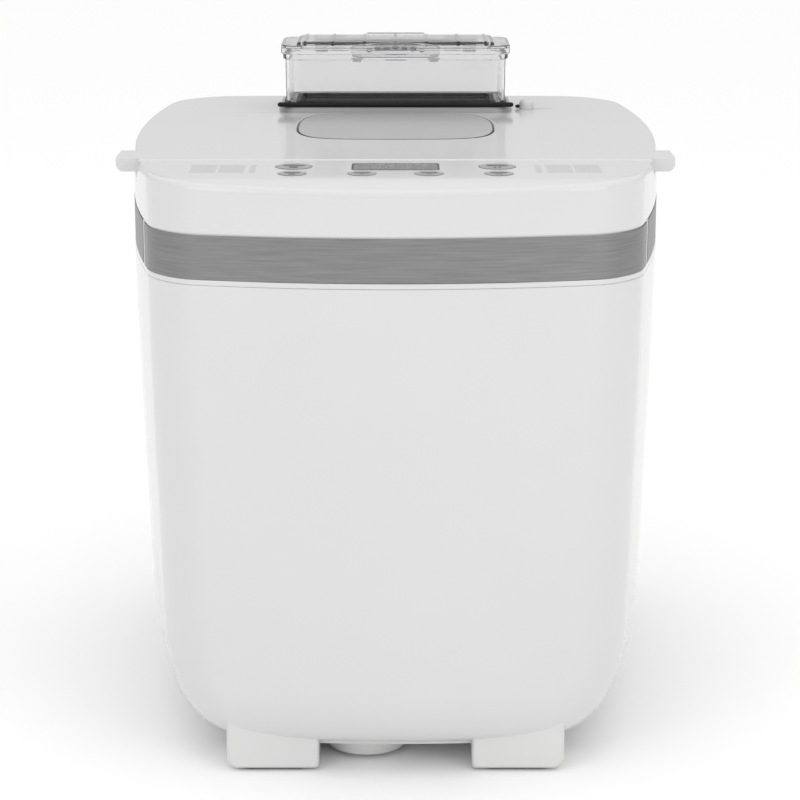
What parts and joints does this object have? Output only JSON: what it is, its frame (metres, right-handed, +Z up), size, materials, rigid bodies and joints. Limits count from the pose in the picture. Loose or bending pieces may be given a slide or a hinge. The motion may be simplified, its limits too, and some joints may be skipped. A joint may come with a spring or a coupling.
{
  "type": "bread machine",
  "caption": "Bread machine: barrel-sided glossy white body with a steel band, hinged lid with a window and clear ingredient dispenser, key panel, belt drive, lift-out pan and paddle.",
  "frame": {"origin": "on the worktop, under the middle of the whole machine", "axes": "+Z up, the control panel faces -Y, the lid hinge is at +Y, X runs left to right as seen from the front"},
  "size_m": [0.2848, 0.349, 0.3455],
  "materials": {
    "bearing_bronze": "sintered bronze",
    "belt_rubber": "ribbed black belt",
    "black_nylon": "black nylon",
    "board_green": "circuit board",
    "cast_alloy": "cast alloy",
    "catch_white": "light grey slider",
    "clear_plastic": "clear polycarbonate",
    "coated_metal": "dark non-stick coating",
    "dark_flap": "dark grey flap",
    "display_dark": "display module",
    "display_lens": "smooth grey display lens",
    "grey_base": "satin light grey moulding",
    "heater_tube": "dark sheathed element",
    "key_grey": "smooth grey key caps",
    "motor_metal": "motor can",
    "oven_sheet": "aluminised sheet",
    "pulley_plastic": "moulded pulley",
    "rubber_dark": "soft black rubber",
    "screw_steel": "zinc-plated steel",
    "seal_black": "black silicone",
    "seal_grey": "grey silicone",
    "shaft_steel": "turned steel",
    "steel_trim": "brushed along its length",
    "switch_black": "small switches",
    "white_shell": "glossy white injection-moulded shell",
    "window_glass": "tinted heat-resistant glass"
  },
  "bodies": {
    "body": {"base_plate": "grey_base", "motor_cover": "white_shell", "front_feet": "grey_base", "rear_feet": "grey_base", "foot_pads": "rubber_dark", "base_screws": "screw_steel", "lower_housing": "white_shell", "upper_frame": "white_shell", "trim_band_front": "steel_trim", "trim_band_left": "steel_trim", "trim_band_right": "steel_trim", "display_lens": "display_lens", "display_module": "display_dark", "control_board": "board_green", "key_switches": "switch_black", "oven_chamber": "oven_sheet", "heating_element": "heater_tube", "heater_clips": "screw_steel", "temperature_probe": "screw_steel", "pan_socket": "cast_alloy", "chassis_plate": "oven_sheet", "chassis_posts": "screw_steel", "motor": "motor_metal", "drive_belt": "belt_rubber", "shaft_bearing": "bearing_bronze", "power_board": "board_green", "cord_gland": "black_nylon", "hinge_pins": "shaft_steel"},
    "lid": {"lid_shell": "white_shell", "lid_window": "window_glass", "lid_liner": "oven_sheet", "liner_window": "window_glass", "lid_seal": "seal_grey", "dispenser_seal": "seal_black", "hopper_box": "clear_plastic", "hopper_lid_pin": "shaft_steel", "flap_solenoid": "shaft_steel"},
    "dispenser_lid": {"hopper_lid": "clear_plastic"},
    "latch": {"hopper_latch": "clear_plastic"},
    "flap": {"hopper_flap": "dark_flap"},
    "plunger": {"solenoid_plunger": "shaft_steel"},
    "catch": {"dispenser_catch": "catch_white"},
    "menu_key": {"menu_button": "key_grey"},
    "start_key": {"start_button": "key_grey"},
    "plus_key": {"plus_button": "key_grey"},
    "minus_key": {"minus_button": "key_grey"},
    "loaf_key": {"loaf_button": "key_grey"},
    "crust_key": {"crust_button": "key_grey"},
    "drive": {"large_pulley": "pulley_plastic", "drive_shaft": "shaft_steel", "drive_coupling": "cast_alloy"},
    "rotor": {"motor_pulley": "cast_alloy"},
    "pan": {"bread_pan": "coated_metal", "pan_base": "cast_alloy", "pan_bearing": "bearing_bronze", "handle_rivets": "shaft_steel"},
    "paddle": {"pan_shaft": "shaft_steel", "kneading_paddle": "coated_metal"},
    "handle": {"pan_handle": "shaft_steel"}
  },
  "joints": [
    {"name": "lid_hinge", "type": "hinge", "parent": "body", "child": "lid", "pos_m": [0, 0.1695, 0.297], "axis": [-1, 0, 0], "range_deg": [0, 75]},
    {"name": "dispenser_lid_hinge", "type": "hinge", "parent": "lid", "child": "dispenser_lid", "pos_m": [0, 0.1401, 0.3405], "axis": [-1, 0, 0], "range_deg": [0, 100]},
    {"name": "latch_slide", "type": "slide", "parent": "dispenser_lid", "child": "latch", "axis": [0, -1, 0], "range_m": [0, 0.0025], "stiffness_N_per_m": 400, "springref_m": -0.001},
    {"name": "flap_hinge", "type": "hinge", "parent": "lid", "child": "flap", "pos_m": [0, 0.1315, 0.3069], "axis": [1, 0, 0], "range_deg": [0, 65], "stiffness_Nm_per_rad": 0.03, "springref_deg": -34.38},
    {"name": "plunger_slide", "type": "slide", "parent": "lid", "child": "plunger", "axis": [-1, 0, 0], "range_m": [0, 0.0061]},
    {"name": "catch_slide", "type": "slide", "parent": "lid", "child": "catch", "axis": [1, 0, 0], "range_m": [0, 0.004]},
    {"name": "menu_press", "type": "slide", "parent": "body", "child": "menu_key", "axis": [0, 0, -1], "range_m": [0, 0.001], "stiffness_N_per_m": 400, "springref_m": -0.001},
    {"name": "start_press", "type": "slide", "parent": "body", "child": "start_key", "axis": [0, 0, -1], "range_m": [0, 0.001], "stiffness_N_per_m": 400, "springref_m": -0.001},
    {"name": "plus_press", "type": "slide", "parent": "body", "child": "plus_key", "axis": [0, 0, -1], "range_m": [0, 0.001], "stiffness_N_per_m": 400, "springref_m": -0.001},
    {"name": "minus_press", "type": "slide", "parent": "body", "child": "minus_key", "axis": [0, 0, -1], "range_m": [0, 0.001], "stiffness_N_per_m": 400, "springref_m": -0.001},
    {"name": "loaf_press", "type": "slide", "parent": "body", "child": "loaf_key", "axis": [0, 0, -1], "range_m": [0, 0.001], "stiffness_N_per_m": 400, "springref_m": -0.001},
    {"name": "crust_press", "type": "slide", "parent": "body", "child": "crust_key", "axis": [0, 0, -1], "range_m": [0, 0.001], "stiffness_N_per_m": 400, "springref_m": -0.001},
    {"name": "drive_spin", "type": "hinge", "parent": "body", "child": "drive", "pos_m": [0, 0.026, 0.063], "axis": [0, 0, 1], "continuous": true},
    {"name": "motor_spin", "type": "hinge", "parent": "body", "child": "rotor", "pos_m": [-0.015, -0.1245, 0.033], "axis": [0, 0, 1], "continuous": true},
    {"name": "pan_lift", "type": "slide", "parent": "body", "child": "pan", "axis": [0, 0, 1], "range_m": [0, 0.012]},
    {"name": "paddle_spin", "type": "hinge", "parent": "pan", "child": "paddle", "pos_m": [0, 0.026, 0.093], "axis": [0, 0, 1], "continuous": true},
    {"name": "handle_swing", "type": "hinge", "parent": "pan", "child": "handle", "pos_m": [0, 0.026, 0.221], "axis": [0, -1, 0], "range_deg": [0, 25]}
  ],
  "couplings": [
    {"joint": "motor_spin", "follows": "drive_spin", "ratio": 5},
    {"joint": "paddle_spin", "follows": "drive_spin", "ratio": 1},
    {"joint": "plunger_slide", "follows": "flap_hinge", "m_per_rad": 0.00529}
  ]
}
